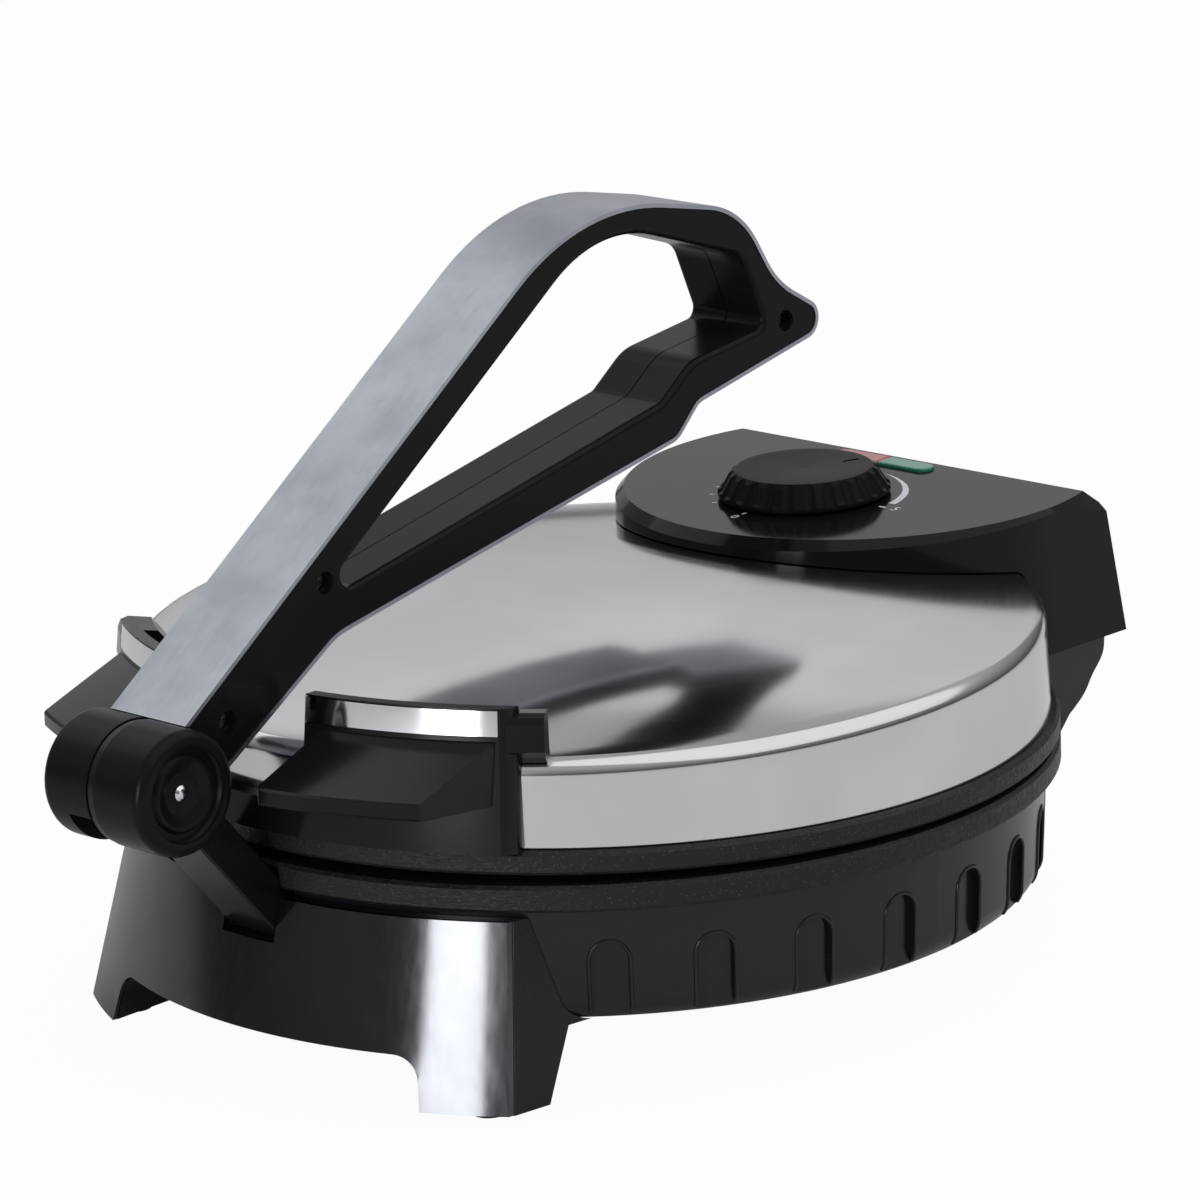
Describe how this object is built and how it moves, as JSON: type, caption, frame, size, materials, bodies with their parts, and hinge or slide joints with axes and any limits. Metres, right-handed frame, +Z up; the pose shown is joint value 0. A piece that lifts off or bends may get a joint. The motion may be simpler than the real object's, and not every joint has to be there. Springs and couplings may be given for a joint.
{
  "type": "electric roti maker",
  "caption": "Electric press griddle for round flatbreads: hinged lid with heated plate, sloping thermostat box with dial, and a long looped press lever on a fixed link arm.",
  "frame": {"origin": "centre of the whole object's footprint, on the table the feet stand on", "axes": "+Z up, +Y to the back where the lid hinge and the control box are, the press lever's pivot at the front on -Y, +X to the right seen from the front"},
  "size_m": [0.266, 0.3418, 0.2172],
  "materials": {
    "black_plastic": "moulded, light sheen",
    "knob_plastic": "moulded, fine grain",
    "plate_coating": "cast, dark non-stick coating",
    "lid_steel": "brushed",
    "dark_steel": "brushed, dark",
    "grey_steel": "plain sheet",
    "steel": "plain",
    "bright_metal": "polished",
    "arm_metal": "black, satin",
    "silver_band": "satin",
    "foot_rubber": "plain",
    "green_lamp": "translucent, unlit",
    "red_lamp": "translucent, unlit"
  },
  "bodies": {
    "base": {"base_housing": "black_plastic", "bottom_cover": "grey_steel", "cover_screws": "steel", "front_leg_block": "black_plastic", "front_fascia": "dark_steel", "rear_legs": "black_plastic", "rubber_feet": "foot_rubber", "lower_plate": "plate_coating", "lower_element": "steel", "lower_reflector": "grey_steel", "link_arm": "arm_metal", "lever_pin": "bright_metal", "hinge_housing": "black_plastic", "hinge_pins": "bright_metal"},
    "lid": {"upper_plate": "plate_coating", "upper_element": "steel", "upper_reflector": "grey_steel", "lid_shell": "lid_steel", "lid_bracket": "black_plastic", "bracket_trim_left": "bright_metal", "bracket_trim_right": "bright_metal", "control_housing": "black_plastic", "thermostat": "grey_steel", "green_lens": "green_lamp", "red_lens": "red_lamp", "cord_gland": "black_plastic"},
    "knob": {"knob": "knob_plastic", "thermostat_shaft": "steel"},
    "lever": {"lever_half_left": "black_plastic", "lever_half_right": "black_plastic", "lever_band": "silver_band", "lever_screws": "steel"}
  },
  "joints": [
    {"name": "lid_hinge", "type": "hinge", "parent": "base", "child": "lid", "pos_m": [0, 0.15404, 0.0705], "axis": [-1, 0, 0], "range_deg": [0, 75]},
    {"name": "lever_swing", "type": "hinge", "parent": "base", "child": "lever", "pos_m": [0, -0.15366, 0.0932], "axis": [1, 0, 0], "range_deg": [0, 150]},
    {"name": "knob_turn", "type": "hinge", "parent": "lid", "child": "knob", "pos_m": [0, 0.11253, 0.11417], "axis": [0, -0.0148, 0.9999], "range_deg": [-90, 200]}
  ],
  "couplings": [
    {"joint": "lever_swing", "follows": "lid_hinge", "ratio": 2}
  ]
}
